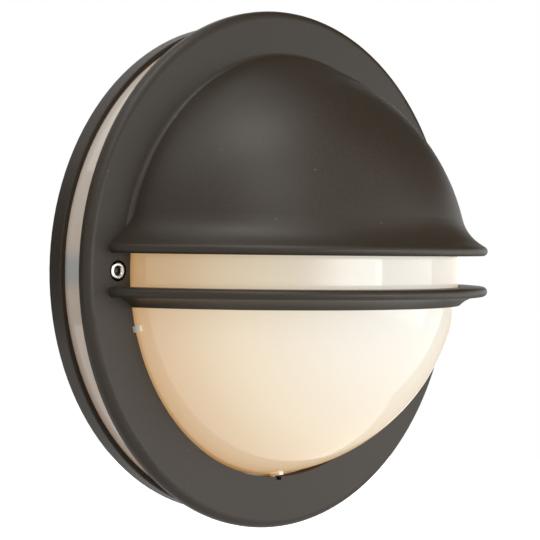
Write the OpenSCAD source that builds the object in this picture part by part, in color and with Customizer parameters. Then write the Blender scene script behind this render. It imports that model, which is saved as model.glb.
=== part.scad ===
// Round outdoor wall light with a half hood, a bar below it and an opal dome.
// Origin: centre of the light on the wall face. +Y goes into the wall, the light
// stands out towards -Y, +Z is up. "Depth" below means distance out from the wall.

/* [Diffuser] */
// Outer radius of the opal dome, a part of a sphere
dome_r = 113.5; // [94:0.1:137]
// Depth of the dome's centre, out from the wall
dome_depth = 8.7; // [6:0.1:11]
// Wall thickness of the opal diffuser
opal_t = 2.5; // [2:0.1:3]
// Radius of the diffuser's outer front corner
opal_corner_r = 4; // [3:0.1:5]
// Number of locating keys round the dome
key_count = 5; // [3:1:6]
// Angle of the first key, from the light's right side
key_angle = 195.1; // [190:0.1:200]
// Width of a key
key_w = 3; // [2:0.1:4]
// Height of a key above the dome
key_h = 1.2; // [0.8:0.1:1.5]
// Length of a key in front of the cover's face
key_front = 1.8; // [1.5:0.1:2.2]

/* [Front cover] */
// Depth of the cover's front face
face_depth = 36.4; // [30:0.1:44]
// Thickness of the cover's plate
cover_t = 3; // [2.5:0.1:3.5]
// Depth of the cover's outer edge, front to back
edge_depth = 5.9; // [5:0.1:7]
// Radius of the cover's rounded outer edge
edge_r = 4.3; // [3.6:0.1:4.8]
// Gap between the dome and the cover's opening, across the face
opening_gap = 2.2; // [1.8:0.1:3]
// From the cover's opening to the centre of a cover screw
screw_land = 7.7; // [7:0.1:10]
// How far the cover reaches out past the diffuser
overhang = 8.5; // [7:0.1:11]
// Thickness of the ribs under the cover
cover_rib_t = 3; // [2.5:0.1:4]

/* [Hood and bar] */
// Gap between the dome and the inside of the hood
hood_gap = 1.5; // [1.2:0.1:2]
// Wall thickness of the hood
hood_t = 3.7; // [3.1:0.1:4.4]
// How far the lip and the bar reach out past the hood
lip_out = 10.3; // [8.6:0.1:12.3]
// Radius of the rounded front edge of the lip and the bar
nose_r = 2.6; // [2.1:0.1:3]
// Height of the hood's lower edge above the centre
lip_z = 8.8; // [7:0.1:11]
// Slope of the top of the lip, in degrees
lip_slope = 33; // [29:1:38]
// Radius of the hollow where the hood turns out into the lip
flare_r = 22; // [18:0.5:26.5]
// Radius of the hollow between the hood and the plate
root_r = 2.5; // [2:0.1:3]
// Depth of the bar's top face below the centre
bar_top_z = 8; // [6:0.1:10]
// Height of the bar at the dome
bar_h = 10.3; // [9:0.1:12]
// Radius of the hollow under the bar
bar_hollow_r = 16; // [13:0.5:19.5]
// From the bar's outer edge to where its hollow starts
bar_hollow_in = 3.2; // [2.6:0.1:4]

/* [Base] */
// Depth of the base's rim
rim_depth = 9; // [8:0.1:11]
// Thickness of the base's rim
rim_t = 2.7; // [2.2:0.1:3.2]
// How far the floor stands back from the wall
floor_back = 1.5; // [1.2:0.1:2]
// Thickness of the base's floor
floor_t = 2.5; // [2:0.1:3]
// Thickness of the rib inside the seal's groove
groove_rib_t = 2; // [1.5:0.1:2.5]
// Outer radius of a screw pillar
pillar_r = 5.5; // [4.5:0.1:6]
// Gap between a screw pillar and the diffuser's skirt
pillar_gap = 3.5; // [2.5:0.1:5]
// Width of a fixing slot
slot_w = 5.5; // [4.5:0.5:6.5]
// Length of a fixing slot, end to end
slot_l = 14; // [11:0.5:17]
// From the groove's rib to the outer end of a fixing slot
slot_inset = 23; // [18:0.5:28]
// Width of the raised pad round a fixing slot
slot_pad = 4; // [3:0.5:5]

/* [Seals] */
// Thickness of the seal under the diffuser's skirt
seal_t = 2.5; // [2:0.1:3]
// Side clearance of the diffuser in the base's groove
groove_gap = 0.4; // [0.2:0.1:0.6]
// Thickness of the washers under the diffuser's flange
washer_t = 1.5; // [1:0.1:2]
// Radius of the hole that the supply cable passes through
cable_r = 4; // [3:0.5:5]
// Radius of the hole in the base for the cable grommet
entry_r = 10; // [8:0.5:11]
// Height of the cable entry below the centre
entry_z = 46; // [42:1:50]

/* [Cover screws] */
// Radius of the cover screw's thread
screw_r = 2.5; // [2:0.5:3]
// Radius of its cylinder head
head_r = 4.25; // [4:0.05:4.5]
// Height of its cylinder head
head_h = 5; // [4:0.5:6]
// Width across the flats of its hexagon socket
hex_af = 4; // [3:0.5:5]
// Depth of the hexagon socket
hex_depth = 2.6; // [2:0.1:3]
// Radius of the recess round the screw's head
recess_r = 5.25; // [5:0.05:5.5]
// Thickness of the cover under the screw's head
head_floor = 2.5; // [2:0.1:3]
// Distance from the wall to the screw's tip
tip_depth = 6.4; // [5:0.1:8]

/* [Lamp] */
// Depth of the lamp's axis
lamp_depth = 46; // [44:0.5:50]
// Position of the lampholder's mouth along the lamp's axis
mouth_x = -20; // [-24:1:-16]
// Radius of the lamp's bulb
bulb_r = 30; // [25:0.5:31]
// Length of the lamp
lamp_l = 106; // [100:1:110]
// Radius of the lamp's screw cap
cap_r = 13.2; // [13:0.1:13.5]
// Length of the lamp's screw cap
cap_l = 27; // [26:0.5:28]
// Radius of the lamp's neck
neck_r = 15.5; // [14.5:0.5:18]

/* [Lampholder] */
// Outer radius of the lampholder's sleeve
holder_r = 19.5; // [18.5:0.5:21]
// Outer radius of the lampholder's foot
holder_foot_r = 23; // [22:0.5:24]
// Length of the lampholder's foot
holder_foot_l = 16; // [14:0.5:18]
// Length of the whole lampholder
holder_l = 51; // [49:0.5:54]
// Thickness of the holder's threaded shell
shell_t = 0.6; // [0.5:0.1:1]
// Length of the holder's threaded shell
shell_l = 23; // [20:0.5:24]
// Thickness of the bracket's steel
bracket_t = 1.5; // [1.2:0.1:2]
// Width of the bracket
bracket_w = 30; // [26:1:34]
// Length of the bracket's foot
bracket_foot = 24; // [22:1:28]
// Inner radius of the bracket's bend
bracket_bend_r = 2; // [1.5:0.5:3]

/* [Wiring] */
// Distance between the poles of the terminal block
pole_pitch = 10; // [9:0.5:12]
// Length of the terminal block along its wires
block_l = 18; // [16:0.5:20]
// Height of the terminal block
block_h = 13; // [12:0.5:15]
// Outer radius of an insulated wire
wire_r = 1.1; // [0.9:0.1:1.3]

/* [Hidden] */

fine = 180;
round_fn = 64;
small_fn = 32;
eps = 0.01;

// Round the cover's opening, all worked outwards from the dome
face_back = face_depth - dome_depth;
opening_r = sqrt(dome_r * dome_r - face_back * face_back) + opening_gap;
screw_x = opening_r + screw_land;
skirt_in_r = screw_x + pillar_r + pillar_gap;
skirt_r = skirt_in_r + opal_t;
cover_r = skirt_r + overhang;
rim_in_r = skirt_r + groove_gap;
rim_r = rim_in_r + rim_t;
groove_in_r = skirt_in_r - groove_gap * 2;
rib_in_r = groove_in_r - groove_rib_t;

// Depths, all from the wall
floor_depth = floor_back + floor_t;
skirt_depth = floor_depth + seal_t;
under_depth = face_depth - cover_t;
seat_depth = face_depth - head_h;
flange_depth = seat_depth - head_floor;
pillar_depth = flange_depth - opal_t - washer_t;
groove_depth = skirt_depth + 1;

// Hood, lip and bar, in the plane through the vertical axis of the dome
hood_in_r = dome_r + hood_gap;
hood_r = hood_in_r + hood_t;
lip_r = hood_r + lip_out;
nose_x = lip_r - nose_r;
lip_nose_z = lip_z + nose_r;
bar_nose_z = -bar_top_z - nose_r;
bar_low_z = -bar_top_z - bar_h;

// The lip's slope touches the nose here, and runs up and in from this point
slope_in = -cos(lip_slope);
slope_up = sin(lip_slope);
touch_x = nose_x + nose_r * sin(lip_slope);
touch_z = lip_nose_z + nose_r * cos(lip_slope);
// Centre of the hollow that touches both the slope and the hood's sphere
hollow_x0 = touch_x + flare_r * sin(lip_slope);
hollow_z0 = touch_z + flare_r * cos(lip_slope);
hollow_b = hollow_x0 * slope_in + hollow_z0 * slope_up;
hollow_c = pow(hollow_x0, 2) + pow(hollow_z0, 2) - pow(hood_r + flare_r, 2);
hollow_run = -hollow_b - sqrt(hollow_b * hollow_b - hollow_c);
hollow_x = hollow_x0 + hollow_run * slope_in;
hollow_z = hollow_z0 + hollow_run * slope_up;
// Where the slope ends and the hollow starts
foot_x = hollow_x - flare_r * sin(lip_slope);
foot_z = hollow_z - flare_r * cos(lip_slope);
// Centre of the hollow between the hood and the plate, measured about the front axis
root_back = face_back + root_r;
root_x = sqrt(pow(hood_r + root_r, 2) - pow(root_back, 2));

// Keys round the dome and the notches that they stand in
key_r = opening_r + 0.6;
key_l = 6;
key_foot_depth = under_depth - cover_rib_t / 2;
ridge_l = 13;
notch_gap = 0.3;
notch_r = key_r + 1;

// Holes for the cover screws, and the bosses that they pass through under the cover
cover_clearance = 0.25;
flange_clearance = 0.75;
boss_t = 2.2;
head_round = 0.5;
hex_chamfer = 0.4;

// Details of the base
slot_z = rib_in_r - slot_inset - slot_l / 2;
web_t = 2.5;
rim_round = 0.8;
blind_floor = 0.8;
entry_boss = 4;
stiff_angles = [30, 150, 210, 330];
stiff_t = 2;
stiff_h = 1;
slot_pad_h = 1;

// Cable grommet
grommet_flange = 2.5;
grommet_back_t = 1.2;
grommet_front_t = 2;
grommet_cone_l = 7;
grommet_tip_t = 1.5;
grommet_shoulder = 1;
grommet_wall = 2;
grommet_funnel_l = 4;

// Lamp and holder along the lamp's axis
holder_back_x = mouth_x - holder_l;
cap_tip_x = mouth_x - cap_l;
shell_r = cap_r + shell_t;
contact_h = 3;
cavity_x = cap_tip_x - contact_h;
shell_inset = 2;
tip_r = 4.5;
tip_l = 2;
insulator_r = 9;
insulator_end = 5;
cap_round = 1;
bulge_r = 40;
holder_screw_z = 10;
holder_screw_l = 7;
holder_foot_round = 3;
holder_round = 1.5;
strip_w = 6;
strip_l = 14;
strip_t = 0.8;
strip_below = 9;
button_r = 2.5;

// Bracket, and the two sizes of pan-head screw
bracket_x = holder_back_x - bracket_t;
bracket_top = lamp_depth + 16;
bracket_pad = 2;
bracket_margin = 2;
foot_screw_x = bracket_x + bracket_foot - 8;
foot_screw_z = bracket_w / 4;
m4_r = 2;
m4_head_r = 3.8;
m4_head_h = 2.6;
m3_r = 1.5;
m3_head_r = 2.6;
m3_head_h = 1.8;
screw_gap = 0.25;
// Shares of a pan head: its rounding, and its cross slot's length, width and depth
pan_round = 0.6;
cross_l = 1.1;
cross_w = 0.22;
cross_depth = 0.6;

// Terminal block, its poles beside each other along X
block_x = 40;
block_z = -54;
sleeve_r = 2.8;
sleeve_bore = 1.7;
sleeve_l = 14;
sleeve_h = 5.2;
clamp_z = 3.8;
clamp_hole_r = 2;
pole_gap = 2;
block_seat_h = 7.8;
pole_web_l = sleeve_l - 1;
slit_w = 0.6;
slit_depth = 0.8;
poles = [-1, 0, 1];

// Earth point on the base's floor
earth_x = 68;
earth_z = -30;
earth_boss_r = 5;
earth_boss_h = 2.5;
earth_boss_depth = floor_depth + earth_boss_h;
earth_washer_r = 4.4;
earth_washer_t = 1;
lug_r = 4;
lug_t = 1;
barrel_x = 9;
barrel_l = 3.5;
barrel_t = 0.6;
barrel_h = wire_r + barrel_t;
barrel_depth = earth_boss_depth + earth_washer_t + barrel_h;
earth_screw_l = 5.5;

// Wires: how they lie in the sleeves, on the floor and in the lampholder
wire_in_depth = floor_depth + sleeve_h - sleeve_bore + wire_r;
clamp_tip_depth = wire_in_depth + wire_r;
clamp_screw_l = 5.5;
block_seat_depth = floor_depth + block_seat_h;
wire_floor = floor_depth + 4;
wire_hole_x = holder_back_x + 12;
wire_hole_z = 6;
wire_hole_l = 8;
wire_gap = 0.3;
wire_end_depth = lamp_depth - holder_foot_r + wire_hole_l;
wire_steps = 4;
sleeve_end_z = block_z + sleeve_l / 2 + 0.5;

// A solid of revolution about the light's front axis, from a profile of radius and depth
module turned_about_front() {
  rotate([90, 0, 0]) rotate_extrude($fn = fine) children();
}

// A solid of revolution about the vertical axis of the dome, from radius and height
module turned_about_vertical() {
  translate([0, -dome_depth, 0]) rotate_extrude($fn = fine) children();
}

// Places a piece at x, z on the wall, its own Z pointing out of the wall
module on_wall(x, z, depth = 0) {
  translate([x, -depth, z]) rotate([90, 0, 0]) children();
}

// Places a piece on the lamp's axis, its own Z pointing along X
module on_lamp(x, z = 0) {
  translate([x, -lamp_depth, z]) rotate([0, 90, 0]) children();
}

// Both sides of the light, where the cover screws are
module both_sides() {
  for (side = [-1, 1]) on_wall(side * screw_x, 0) children();
}

// One place for each key round the dome
module each_key() {
  for (i = [0 : key_count - 1])
    rotate([0, -key_angle - i * 360 / key_count, 0]) children();
}

// A rectangle from corner to corner
module span(x0, y0, x1, y1) {
  translate([x0, y0]) square([x1 - x0, y1 - y0]);
}

// A rectangle whose far corner, at x1, y1, is rounded
module span_rounded(x0, y0, x1, y1, r) {
  difference() {
    span(x0, y0, x1, y1);
    span(x1 - r, y1 - r, x1 + eps, y1 + eps);
  }
  intersection() {
    translate([x1 - r, y1 - r]) circle(r, $fn = round_fn);
    span(x1 - r - eps, y1 - r - eps, x1, y1);
  }
}

// Section of the base, about the front axis
module base_section() {
  span(0, floor_back, rib_in_r + eps, floor_depth);
  span(rib_in_r, 0, rim_in_r + eps, floor_depth);
  span(rib_in_r, floor_back, groove_in_r, groove_depth);
  span_rounded(rim_in_r, 0, rim_r, rim_depth, rim_round);
}

// Rounded pad for a fixing slot, from the wall to above the floor
module slot_pads() {
  for (side = [-1, 1]) on_wall(0, side * slot_z) linear_extrude(floor_depth + slot_pad_h)
    slot_shape(slot_w + 2 * slot_pad, slot_l + 2 * slot_pad);
}

// Outline of a slot that runs up and down
module slot_shape(w, l) {
  square([w, l - w], center = true);
  for (end = [-1, 1]) translate([0, end * (l - w) / 2]) circle(w / 2, $fn = small_fn);
}

// Pillar for a cover screw, tied to the floor and to the groove's rib by a web on each side
module pillar() {
  cylinder(r = pillar_r, h = pillar_depth, $fn = small_fn);
  for (turn = [0, 180]) rotate([0, 0, turn]) translate([0, -web_t / 2, floor_back])
    cube([rib_in_r + groove_rib_t / 2 - screw_x, web_t, groove_depth - floor_back]);
}

// Flat ribs that stiffen the outer half of the floor, as far as the groove's rib
module floor_ribs() {
  start = rib_in_r / 2;
  for (angle = stiff_angles) rotate([0, angle, 0])
    translate([start, -floor_depth - stiff_h, -stiff_t / 2])
      cube([rib_in_r - start + eps, stiff_h + floor_t / 2, stiff_t]);
}

// Raised pad under the lampholder's bracket
module bracket_pad_solid() {
  on_wall(bracket_x - bracket_margin, -bracket_w / 2 - bracket_margin, floor_back)
    cube([bracket_foot + 2 * bracket_margin, bracket_w + 2 * bracket_margin, floor_t + bracket_pad]);
}

// Boss round the cable entry, and the boss for the earth screw
module floor_bosses() {
  on_wall(0, -entry_z, floor_back)
    cylinder(r = entry_r + entry_boss, h = floor_t, $fn = small_fn);
  on_wall(earth_x, earth_z, floor_back)
    cylinder(r = earth_boss_r, h = earth_boss_depth - floor_back, $fn = small_fn);
}

// Everything that is drilled into the base, through or blind
module base_holes() {
  blind = floor_back + blind_floor;
  both_sides() translate([0, 0, tip_depth - 1]) cylinder(r = screw_r, h = pillar_depth, $fn = small_fn);
  for (side = [-1, 1]) on_wall(0, side * slot_z, -1) linear_extrude(2 * floor_depth)
    slot_shape(slot_w, slot_l);
  on_wall(0, -entry_z, -1) cylinder(r = entry_r, h = 2 * floor_depth, $fn = small_fn);
  each_bracket_screw(blind) cylinder(r = m4_r, h = 2 * floor_depth, $fn = small_fn);
  on_wall(earth_x, earth_z, blind) cylinder(r = m4_r, h = earth_boss_depth, $fn = small_fn);
  each_block_screw(blind) cylinder(r = m3_r, h = floor_t, $fn = small_fn);
}

module base() {
  color([0.16, 0.15, 0.14])
  difference() {
    union() {
      turned_about_front() base_section();
      both_sides() pillar();
      slot_pads();
      floor_ribs();
      bracket_pad_solid();
      floor_bosses();
    }
    base_holes();
  }
}

// Section of the cover's plate, its rim, seat rib and opening, about the front axis
module plate_section() {
  collar_r = opening_r + cover_rib_t;
  seat_out_r = skirt_r - opal_corner_r;
  difference() {
    span_rounded(opening_r, face_depth - edge_depth, cover_r, face_depth, edge_r);
    span(opening_r - 1, 0, cover_r - cover_rib_t, under_depth);
  }
  span(opening_r, under_depth - cover_rib_t, collar_r, under_depth + eps);
  span(seat_out_r - cover_rib_t, flange_depth, seat_out_r, under_depth + eps);
}

// Half section of the hood with its turned-out lip, about the vertical axis
module hood_section() {
  in_wall = (hood_r - hood_t / 2) / (hood_r + flare_r);
  difference() {
    union() {
      intersection() {
        circle(hood_r, $fn = fine);
        span(0, lip_z, hood_r + 1, hood_r + 1);
      }
      difference() {
        polygon([[hood_in_r, lip_z], [nose_x, lip_z], [nose_x, lip_nose_z], [touch_x, touch_z],
                 [foot_x, foot_z], [hollow_x, hollow_z], [hollow_x * in_wall, hollow_z * in_wall]]);
        translate([hollow_x, hollow_z]) circle(flare_r, $fn = round_fn);
      }
      translate([nose_x, lip_nose_z]) circle(nose_r, $fn = round_fn);
    }
    circle(hood_in_r, $fn = fine);
  }
}

// Section of the bar, flat on top and hollow underneath, about the vertical axis
module bar_section() {
  hollow_start = lip_r - bar_hollow_in;
  nose_low = bar_nose_z - nose_r;
  difference() {
    union() {
      span(hood_in_r - hood_t, nose_low, nose_x, -bar_top_z);
      span(hood_in_r - hood_t, bar_low_z, hollow_start, nose_low + eps);
      translate([nose_x, bar_nose_z]) circle(nose_r, $fn = round_fn);
    }
    translate([hollow_start, nose_low - bar_hollow_r]) circle(bar_hollow_r, $fn = round_fn);
    circle(hood_in_r, $fn = fine);
  }
}

// Hollow between the hood and the plate, about the front axis
module root_section() {
  along = (hood_r - hood_t / 2) / (hood_r + root_r);
  centre_depth = dome_depth + root_back;
  difference() {
    polygon([[root_x, centre_depth], [root_x * along, dome_depth + root_back * along],
             [opening_r + 1, under_depth + cover_t / 2], [root_x, under_depth + cover_t / 2]]);
    translate([root_x, centre_depth]) circle(root_r, $fn = round_fn);
  }
}

// All that stands in front of the middle of the cover's plate
module in_front_of_plate() {
  reach = 2 * cover_r;
  intersection() {
    children();
    translate([-cover_r, -reach, -cover_r]) cube([reach, reach - under_depth - cover_t / 2, reach]);
  }
}

// Recesses and holes for the cover screws, and the notches for the diffuser's keys
module cover_holes() {
  notch_in = opening_r - key_l;
  both_sides() translate([0, 0, seat_depth]) cylinder(r = recess_r, h = 2 * head_h, $fn = small_fn);
  both_sides() cylinder(r = screw_r + cover_clearance, h = face_depth, $fn = small_fn);
  each_key() translate([notch_in, -face_depth - 1, -key_w / 2 - notch_gap])
    cube([notch_r - notch_in, cover_t + cover_rib_t + 2, key_w + 2 * notch_gap]);
}

module front_cover() {
  color([0.20, 0.18, 0.17])
  difference() {
    union() {
      turned_about_front() plate_section();
      in_front_of_plate() turned_about_vertical() {
        hood_section();
        bar_section();
      }
      intersection() {
        turned_about_front() root_section();
        translate([-cover_r, -2 * cover_r, lip_nose_z]) cube(2 * cover_r);
      }
      both_sides() translate([0, 0, flange_depth])
        cylinder(r = recess_r + boss_t, h = under_depth - flange_depth + 1, $fn = small_fn);
    }
    cover_holes();
  }
}

// Section of the diffuser: dome, flange and skirt, about the front axis
module diffuser_section() {
  difference() {
    union() {
      intersection() {
        translate([0, dome_depth]) circle(dome_r, $fn = fine);
        span(0, flange_depth - opal_t, dome_r + 1, dome_r + dome_depth + 1);
      }
      span_rounded(0, skirt_depth, skirt_r, flange_depth, opal_corner_r);
    }
    translate([0, dome_depth]) circle(dome_r - opal_t, $fn = fine);
    span_rounded(-1, 0, skirt_in_r, flange_depth - opal_t, opal_corner_r - opal_t);
  }
}

// A key: a low ridge that follows the dome, and the foot that stands in the notch
module key() {
  intersection() {
    translate([0, -dome_depth, 0]) sphere(dome_r + key_h, $fn = fine);
    translate([opening_r - ridge_l, -face_depth - key_front, -key_w / 2])
      cube([2 * ridge_l, face_depth + key_front - flange_depth + 1, key_w]);
  }
  translate([opening_r - key_l, -key_foot_depth, -key_w / 2])
    cube([key_r - opening_r + key_l, key_foot_depth - flange_depth + 1, key_w]);
}

module diffuser() {
  color([0.93, 0.88, 0.78])
  difference() {
    union() {
      turned_about_front() diffuser_section();
      difference() {
        each_key() key();
        translate([0, -dome_depth, 0]) sphere(dome_r - opal_t / 2, $fn = fine);
      }
    }
    both_sides() cylinder(r = screw_r + flange_clearance, h = face_depth, $fn = small_fn);
  }
}

module diffuser_seal() {
  color([0.10, 0.10, 0.10])
  turned_about_front() span(groove_in_r, floor_depth, rim_in_r, skirt_depth);
}

// Cylinder-head screw with a hexagon socket, its head's top at depth face_depth
module cover_screw() {
  translate([0, 0, tip_depth]) cylinder(r = screw_r, h = seat_depth - tip_depth + 1, $fn = small_fn);
  translate([0, 0, seat_depth]) difference() {
    rotate_extrude($fn = small_fn) span_rounded(0, 0, head_r, head_h, head_round);
    translate([0, 0, head_h - hex_depth]) cylinder(d = hex_af / cos(30), h = 2 * hex_depth, $fn = 6);
    translate([0, 0, head_h - hex_chamfer])
      cylinder(r1 = hex_af / 2, r2 = hex_af / 2 + 2 * hex_chamfer, h = 2 * hex_chamfer, $fn = small_fn);
  }
}

module cover_screws() {
  color([0.78, 0.77, 0.75]) both_sides() cover_screw();
}

module flange_washers() {
  color([0.10, 0.10, 0.10])
  both_sides() translate([0, 0, pillar_depth]) difference() {
    cylinder(r = pillar_r, h = washer_t, $fn = small_fn);
    translate([0, 0, -1]) cylinder(r = screw_r, h = washer_t + 2, $fn = small_fn);
  }
}

// Section of the grommet: back flange, neck in the floor, front flange and cone
module grommet_section() {
  mouth_r = entry_r - grommet_wall;
  cone_end = floor_depth + grommet_cone_l;
  difference() {
    union() {
      span(cable_r, floor_back - grommet_back_t, entry_r + grommet_flange, floor_back);
      span(cable_r, floor_back - grommet_back_t, entry_r, floor_depth + 1);
      span(cable_r, floor_depth, entry_r + grommet_flange, floor_depth + grommet_front_t);
      polygon([[cable_r, floor_depth], [entry_r - grommet_shoulder, floor_depth],
               [cable_r + grommet_tip_t, cone_end], [cable_r, cone_end]]);
    }
    polygon([[cable_r, 0], [mouth_r, 0], [mouth_r, floor_depth], [cable_r, floor_depth + grommet_funnel_l]]);
  }
}

module cable_grommet() {
  color([0.12, 0.12, 0.12])
  on_wall(0, -entry_z) rotate_extrude($fn = round_fn) grommet_section();
}

// The two screws that hold the bracket's foot
module each_bracket_screw(depth) {
  for (side = [-1, 1]) on_wall(foot_screw_x, side * foot_screw_z, depth) children();
}

// Side view of the bracket: a strip with a foot, a bend and an upright
module bracket_section() {
  foot_depth = floor_depth + bracket_pad;
  out_r = bracket_bend_r + bracket_t;
  span(bracket_x + out_r, foot_depth, bracket_x + bracket_foot, foot_depth + bracket_t);
  span(bracket_x, foot_depth + out_r, bracket_x + bracket_t, bracket_top);
  intersection() {
    span(bracket_x, foot_depth, bracket_x + out_r, foot_depth + out_r);
    translate([bracket_x + out_r, foot_depth + out_r]) difference() {
      circle(out_r, $fn = round_fn);
      circle(bracket_bend_r, $fn = round_fn);
    }
  }
}

module holder_bracket() {
  color([0.70, 0.70, 0.72])
  difference() {
    translate([0, 0, -bracket_w / 2]) linear_extrude(bracket_w) mirror([0, 1]) bracket_section();
    each_bracket_screw(0) cylinder(r = m4_r + screw_gap, h = lamp_depth, $fn = small_fn);
    each_holder_screw(bracket_x - 1) cylinder(r = m4_r + screw_gap, h = bracket_t + 2, $fn = small_fn);
    on_lamp(bracket_x - 1) cylinder(r = 2 * m4_r, h = bracket_t + 2, $fn = small_fn);
  }
}

// Pan-head screw with a cross slot, its seat at zero and its shank below
module pan_screw(r, l, head, head_t) {
  translate([0, 0, -l]) cylinder(r = r, h = l + head_t / 4, $fn = small_fn);
  difference() {
    rotate_extrude($fn = small_fn) span_rounded(0, 0, head, head_t, head_t * pan_round);
    for (turn = [0, 90]) rotate([0, 0, turn]) translate([0, 0, head_t])
      cube([head * cross_l, head * cross_w, head_t * 2 * cross_depth], center = true);
  }
}

module bracket_screws() {
  color([0.74, 0.72, 0.66])
  each_bracket_screw(floor_depth + bracket_pad + bracket_t)
    pan_screw(m4_r, bracket_t + bracket_pad + floor_t - blind_floor, m4_head_r, m4_head_h);
}

// The two screws that hold the lampholder to the bracket
module each_holder_screw(x) {
  for (side = [-1, 1]) on_lamp(x, side * holder_screw_z) children();
}

// Section of the lampholder about the lamp's axis, its back at zero
module holder_section() {
  cavity = cavity_x - holder_back_x;
  difference() {
    union() {
      span_rounded(0, 0, holder_foot_r, holder_foot_l, holder_foot_round);
      span_rounded(0, 0, holder_r, holder_l, holder_round);
    }
    span(-1, cavity, shell_r, holder_l + 1);
  }
}

module holder_body() {
  color([0.92, 0.91, 0.88])
  difference() {
    on_lamp(holder_back_x) rotate_extrude($fn = round_fn) holder_section();
    each_holder_screw(holder_back_x - 1) cylinder(r = m4_r, h = holder_screw_l + 2, $fn = small_fn);
    for (side = [-1, 1]) on_wall(wire_hole_x, side * wire_hole_z, lamp_depth - holder_foot_r - 1)
      cylinder(r = wire_r + wire_gap, h = wire_hole_l + 1, $fn = small_fn);
  }
}

module holder_shell() {
  color([0.80, 0.66, 0.36])
  on_lamp(mouth_x - shell_inset - shell_l) difference() {
    cylinder(r = shell_r, h = shell_l, $fn = round_fn);
    translate([0, 0, -1]) cylinder(r = cap_r, h = shell_l + 2, $fn = round_fn);
  }
}

// Sprung strip with a button that meets the lamp's tip
module holder_contact() {
  color([0.80, 0.66, 0.36])
  on_lamp(cavity_x) {
    translate([-strip_w / 2, -strip_below, 0]) cube([strip_w, strip_l, strip_t]);
    cylinder(r = button_r, h = contact_h, $fn = small_fn);
  }
}

module holder_screws() {
  color([0.74, 0.72, 0.66])
  each_holder_screw(bracket_x) rotate([180, 0, 0])
    pan_screw(m4_r, bracket_t + holder_screw_l, m4_head_r, m4_head_h);
}

// Section of the lamp, its cap's tip at zero: tip, insulator, cap, neck and bulb
module lamp_section() {
  bulb_at = lamp_l - bulb_r;
  bulge_run = sqrt(pow(bulb_r + bulge_r, 2) - pow(neck_r + bulge_r, 2));
  neck_end = bulb_at - bulge_run;
  span(0, 0, tip_r, tip_l);
  polygon([[0, tip_l / 2], [tip_r, tip_l / 2], [insulator_r, insulator_end],
           [cap_r - cap_round, insulator_end], [cap_r, insulator_end + cap_round],
           [cap_r, cap_l], [0, cap_l]]);
  span(0, cap_l, neck_r, neck_end);
  span(0, insulator_end, insulator_r, bulb_at);
  intersection() {
    translate([0, bulb_at]) circle(bulb_r, $fn = round_fn);
    span(0, 0, bulb_r + 1, lamp_l + 1);
  }
  difference() {
    polygon([[0, neck_end], [neck_r + bulge_r, neck_end], [0, bulb_at]]);
    translate([neck_r + bulge_r, neck_end]) circle(bulge_r, $fn = round_fn);
  }
}

module lamp() {
  color([0.95, 0.94, 0.90])
  on_lamp(cap_tip_x) rotate_extrude($fn = round_fn) lamp_section();
}

// The two screws between the poles that hold the terminal block
module each_block_screw(depth) {
  for (side = [-1, 1]) on_wall(block_x + side * pole_pitch / 2, block_z, depth) children();
}

// The six clamping screws, two to a pole
module each_clamp_screw(depth) {
  for (pole = poles, end = [-1, 1])
    on_wall(block_x + pole * pole_pitch, block_z + end * clamp_z, depth) children();
}

// A round bar of radius r and length l through the middle of each pole, along Z
module each_pole_bar(r, l) {
  for (pole = poles)
    translate([block_x + pole * pole_pitch, -floor_depth - sleeve_h, block_z - l / 2])
      cylinder(r = r, h = l, $fn = small_fn);
}

module terminal_block() {
  color([0.93, 0.93, 0.90])
  difference() {
    union() {
      for (pole = poles) on_wall(block_x + pole * pole_pitch, block_z, floor_depth)
        linear_extrude(block_h) square([pole_pitch - pole_gap, block_l], center = true);
      on_wall(block_x, block_z, floor_depth) linear_extrude(block_seat_depth - floor_depth)
        square([3 * pole_pitch - 2 * pole_gap, pole_web_l], center = true);
    }
    each_pole_bar(sleeve_r, 2 * block_l);
    each_clamp_screw(floor_depth + sleeve_h) cylinder(r = clamp_hole_r, h = block_h, $fn = small_fn);
    each_block_screw(0) cylinder(r = m3_r + screw_gap, h = 2 * block_h, $fn = small_fn);
    each_block_screw(block_seat_depth) cylinder(r = m3_head_r + screw_gap, h = block_h, $fn = small_fn);
  }
}

module terminal_sleeves() {
  color([0.80, 0.66, 0.36])
  difference() {
    each_pole_bar(sleeve_r, sleeve_l);
    each_pole_bar(sleeve_bore, 2 * sleeve_l);
    each_clamp_screw(floor_depth + sleeve_h) cylinder(r = m3_r, h = block_h, $fn = small_fn);
  }
}

module terminal_screws() {
  color([0.74, 0.72, 0.66])
  each_clamp_screw(clamp_tip_depth) difference() {
    cylinder(r = m3_r, h = clamp_screw_l, $fn = small_fn);
    translate([-m3_head_r, -slit_w / 2, clamp_screw_l - slit_depth]) cube([2 * m3_head_r, slit_w, m3_head_h]);
  }
}

module block_screws() {
  color([0.74, 0.72, 0.66])
  each_block_screw(block_seat_depth)
    pan_screw(m3_r, block_seat_depth - floor_back - blind_floor, m3_head_r, m3_head_h);
}

// Unit vector along v
function unit(v) = v / norm(v);
// Point of a smooth curve through b and c, at t from 0 to 1, with a and d as neighbours
function between(a, b, c, d, t) =
  b + 0.5 * t * (c - a + t * (2 * a - 5 * b + 4 * c - d + t * (3 * (b - c) + d - a)));
// Smooth route through hand-placed points, in steps to each stretch
function smooth(p, steps) = let (n = len(p)) [
  for (i = [0 : n - 2], k = [0 : steps - 1])
    between(p[max(i - 1, 0)], p[i], p[i + 1], p[min(i + 2, n - 1)], k / steps),
  p[n - 1]];
// Direction of the route at each of its points
function along(p) = let (n = len(p)) [
  for (i = [0 : n - 1]) unit(p[min(i + 1, n - 1)] - p[max(i - 1, 0)])];
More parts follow.
